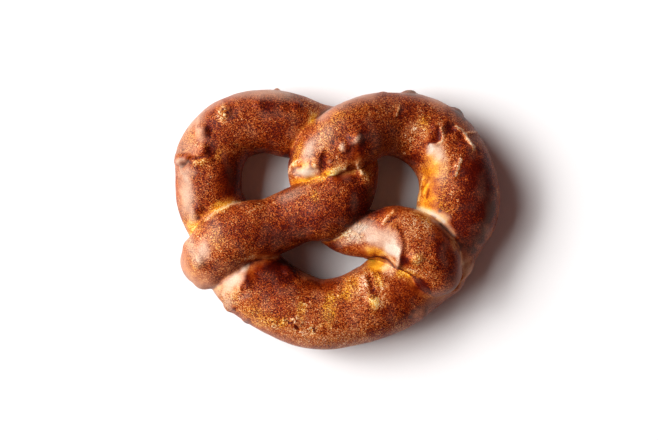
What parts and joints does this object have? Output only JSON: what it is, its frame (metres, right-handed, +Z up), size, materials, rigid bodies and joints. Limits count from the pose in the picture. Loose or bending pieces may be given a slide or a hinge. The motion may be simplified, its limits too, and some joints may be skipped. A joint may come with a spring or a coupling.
{
  "type": "sweet pretzel",
  "caption": "Soft sweet pretzel: a thick rope of baked dough crossed over itself, its ends laid on the belly, with holes right through between the strands.",
  "frame": {"origin": "on the surface the pretzel lies on, under the middle of its outline", "axes": "+Z up out of the tray, +X along the pretzel's width to the right, +Y from the belly to the two upper loops"},
  "size_m": [0.1301, 0.104, 0.0371],
  "materials": {
    "crust": "lightly glazed red-brown baked crust with fine blisters, golden where the dough stretched and pale along the seams"
  },
  "bodies": {
    "root": {"pretzel": "crust"}
  },
  "joints": []
}
